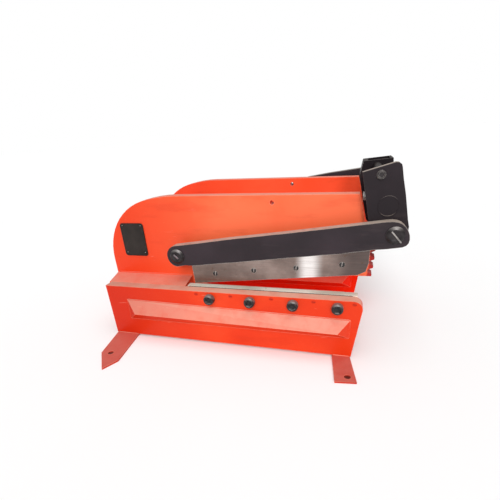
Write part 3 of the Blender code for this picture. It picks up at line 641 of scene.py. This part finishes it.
for i, (x, turn) in enumerate(zip(SCREW_X, (0.2, 0.75, 0.5, 0.05)), 1):
    cap_screw(i, x, SCREW_Z, turn)


# ---- paint has filled the adjusting screw holes flush
for i, x in enumerate(ADJUST_X, 1):
    bm = bmesh.new()
    lathe(bm, x, ADJUST_Z, [(2.7, 3.0), (2.7, 0.5), (3.6, 0.05), (3.5, -0.06), (2.6, -0.14),
                        (0.3, -0.16)], 24)
    finish_piece(bm, f"adjuster_paint_{i}", "filled", "frame")
    # Painted shade: a dark red bar on each filled hole stands for the shade in the screw's slot.
    bm = bmesh.new()
    rounded_bar(bm, (x, ADJUST_Z - 0.1), -0.06, 6.0, 1.5, -0.24, 0.2)
    finish_piece(bm, f"adjuster_slot_shade_{i}", "plug", "frame")

# ---- hinge and head shafts: chamfered, dished caps and threaded ends
THREAD_PITCH, THREAD_START, THREAD_STOP = 1.6, SHAFT_END - 17.0, SHAFT_END - 2.0


def shaft_profile(radius, cap, dish):
    """From the dished cap to the threaded end; cap and dish are radii."""
    front = SHAFT_FRONT
    profile = [(0.4, front + 1.1), (dish * 0.45, front + 0.8), (dish, front + 0.15),
               (dish + 0.5, front), (cap - 4.0, front), (cap - 3.5, front + 0.2),
               (cap - 0.4, front + 2.7), (cap, front + 3.1),
               (cap, front + 3.9), (radius, front + 4.0), (radius, THREAD_START - 1.0)]
    y = THREAD_START
    while y < THREAD_STOP:
        profile += [(radius - 0.05, y), (radius - 0.75, y + THREAD_PITCH / 2.0)]
        y += THREAD_PITCH
    return profile + [(radius - 1.2, SHAFT_END - 1.0), (radius - 2.0, SHAFT_END),
                      (0.4, SHAFT_END)]


for name, (x, z), radius, cap, body in (("hinge", HINGE, 9.0, 13.0, "frame"),
                                        ("head", HEAD, 10.3, 12.6, "blade_arm")):
    bm = bmesh.new()
    lathe(bm, x, z, shaft_profile(radius, cap, cap - 5.6), 64)
    piece = finish_piece(bm, name + "_turned_shaft", "cap", body, 30.0)
    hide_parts(name + "_shaft")

# ---- a locking key lies across each shaft's cap; the bright one on the head shaft also stands for a glint, as a painted highlight
bm = bmesh.new()
rounded_bar(bm, (HEAD[0] + 1.4, HEAD[1] - 1.7), math.radians(-48.0), 21.5, 2.1, 25.6, 28.5)
finish_piece(bm, "head_shaft_glint_key", "key", "blade_arm")
bm = bmesh.new()
rounded_bar(bm, (HINGE[0] - 0.6, HINGE[1] + 0.6), math.radians(-42.0), 11.0, 3.0, 25.7, 28.5)
finish_piece(bm, "hinge_shaft_key", "worn_key", "frame")

# ---- ends of the upper blade's screws, just behind the blade's face; a bright bar down each slot is a painted highlight
for i, (x, z) in enumerate(UPPER_SCREWS, 1):
    bm = bmesh.new()
    lathe(bm, x, z, [(0.4, 31.45), (3.4, 31.45), (3.9, 31.45), (3.95, 31.2), (3.5, 30.75),
                     (0.4, 30.7)], 32)
    finish_piece(bm, f"upper_screw_end_{i}", "dark", "blade_arm", 30.0)
    bm = bmesh.new()
    rounded_bar(bm, (x, z), math.radians(86.0), 7.2, 1.5, 30.45, 30.9)
    finish_piece(bm, f"upper_screw_glint_bar_{i}", "key", "blade_arm")


# ---- nameplate: a raised rim and four drive rivets
def rim(bm, x_range, z_range, corner, width, y_low, y_high, sides=6):
    """A rounded rectangular frame with a half-round section."""
    rings = []
    section = [(0.0, 0.0), (0.18, 0.7), (0.5, 1.0), (0.82, 0.7), (1.0, 0.0)]
    for across, lift in section:
        inset = width * across
        ring = []
        radius = max(corner - inset, 0.4)
        x0, x1 = x_range[0] + inset + radius, x_range[1] - inset - radius
        z0, z1 = z_range[0] + inset + radius, z_range[1] - inset - radius
        for (cx, cz), start in (((x1, z0), -90), ((x1, z1), 0), ((x0, z1), 90), ((x0, z0), 180)):
            for i in range(sides + 1):
                angle = math.radians(start + 90.0 * i / sides)
                ring.append(bm.verts.new((cx + radius * math.cos(angle),
                                          y_low + (y_high - y_low) * lift,
                                          cz + radius * math.sin(angle))))
        rings.append(ring)
    skin(bm, rings, closed_ends=False)
    for i in range(len(rings[0])):
        j = (i + 1) % len(rings[0])
        bm.faces.new((rings[-1][i], rings[-1][j], rings[0][j], rings[0][i]))


bm = bmesh.new()
rim(bm, NAME_X, NAME_Z, 5.0, 1.9, NAME_Y + 0.1, NAME_Y - 0.6)
finish_piece(bm, "nameplate_rim", "name", "frame")
for i, (x, z) in enumerate(NAME_RIVETS, 1):
    bm = bmesh.new()
    lathe(bm, x, z, [(1.9, NAME_Y + 0.6), (1.9, NAME_Y - 0.15), (1.65, NAME_Y - 0.6),
                     (1.0, NAME_Y - 0.95), (0.2, NAME_Y - 1.05)], 20)
    finish_piece(bm, f"nameplate_rivet_{i}", "dark", "frame")

# ---- dark discs at the bottom of the two front strap holes, as painted shade
HOLE_SHADE_SIDES = 28
for i, (x, y) in enumerate(STRAP_HOLES, 1):
    bm = bmesh.new()
    rings = []
    for r, z in ((4.9, -102.7), (4.9, -101.9), (4.5, -101.6), (2.0, -101.75), (0.3, -101.8)):
        turns = [2.0 * math.pi * k / HOLE_SHADE_SIDES for k in range(HOLE_SHADE_SIDES)]
        rings.append([bm.verts.new((x + r * math.cos(turn), y + r * math.sin(turn), z))
                      for turn in turns])
    skin(bm, rings)
    finish_piece(bm, f"strap_hole_shade_disc_{i}", "hole_shade", "frame")


# ---- the cheek's bolt: a short collar and a chamfered hexagon head with a hollow in it
def bolt_head(r, y, angle):
    """In the profile a 1-tuple stands for the width of the hexagon."""
    return hexagon(r[0], angle, math.radians(30.0)) if isinstance(r, tuple) else r


bm = bmesh.new()
lathe(bm, *CROSS, [(6.2, 46.2), (6.2, 45.6), (5.9, 45.4), ((10.6,), 45.4), ((10.6,), 42.4),
                   (5.0, 41.5), (3.9, 41.5), (3.4, 43.8), (0.3, 44.0)], 60, bolt_head)
piece = finish_piece(bm, "cheek_bolt_head", "bolt", "geared_head", 25.0)
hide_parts("cheek_bolt")

# ---- a raised bead of paint round the plug in the front cheek; its top arc is paler from dust and a painted highlight
bm = bmesh.new()
lathe(bm, *PLUG, [(0.4, CHEEK_Y + 0.3), (13.0, CHEEK_Y + 0.3), (13.0, CHEEK_Y),
                  (13.3, CHEEK_Y - 0.45), (13.9, CHEEK_Y - 0.55), (14.5, CHEEK_Y - 0.3),
                  (14.7, CHEEK_Y + 0.1), (0.4, CHEEK_Y + 0.2)], 64)
finish_piece(bm, "cheek_plug_bead", "bead", "geared_head")

# ------------------------------------------------------------------ floor and light
FLOOR_HALF = 30.0                    # metres
WHITE = colour(1.0, 1.0, 1.0)

floor_mesh = bmesh.new()
bmesh.ops.create_grid(floor_mesh, x_segments=1, y_segments=1, size=FLOOR_HALF)
floor_data = bpy.data.meshes.new("floor")
floor_mesh.to_mesh(floor_data)
floor_mesh.free()
floor = bpy.data.objects.new("floor", floor_data)
collection.objects.link(floor)
floor_look = Nodes("studio_floor")
floor_look.put("Base Color", floor_look.mix(floor_look.noise(1.5), colour(0.92, 0.92, 0.92),
                                            colour(0.95, 0.95, 0.95)))
floor_look.put("Roughness", 0.9)
floor_look.put("Specular IOR Level", 0.0)
floor_data.materials.append(floor_look.mat)

# The dome lights the object softly; the backdrop itself is plain white.
DOME, BACKDROP = 0.42, 1.0
world = bpy.data.worlds.new("studio")
scene.world = world
world.use_nodes = True
sky = world.node_tree
sky_out = sky.nodes["World Output"]
dome = sky.nodes["Background"]
dome.inputs["Color"].default_value = WHITE
dome.inputs["Strength"].default_value = DOME
backdrop = sky.nodes.new("ShaderNodeBackground")
backdrop.inputs["Color"].default_value = WHITE
backdrop.inputs["Strength"].default_value = BACKDROP
seen = sky.nodes.new("ShaderNodeLightPath")
choose = sky.nodes.new("ShaderNodeMixShader")
sky.links.new(seen.outputs["Is Camera Ray"], choose.inputs[0])
sky.links.new(dome.outputs[0], choose.inputs[1])
sky.links.new(backdrop.outputs[0], choose.inputs[2])
sky.links.new(choose.outputs[0], sky_out.inputs["Surface"])


def sun(name, azimuth, elevation, strength, spread):
    """A broad, soft, distant light: azimuth from the front towards the right."""
    data = bpy.data.lights.new(name, "SUN")
    data.energy = strength
    data.angle = math.radians(spread)
    lamp = bpy.data.objects.new(name, data)
    collection.objects.link(lamp)
    lamp.rotation_euler = (Matrix.Rotation(math.radians(azimuth), 4, "Z")
                           @ Matrix.Rotation(math.radians(90.0 - elevation), 4, "X")).to_euler()


for name, azimuth, elevation, strength, spread in (("key", 6.0, 38.0, 1.30, 30.0),
                                                   ("front", 18.0, 22.0, 0.88, 12.0),
                                                   ("top", 40.0, 80.0, 0.95, 60.0)):
    sun(name, azimuth, elevation, strength, spread)
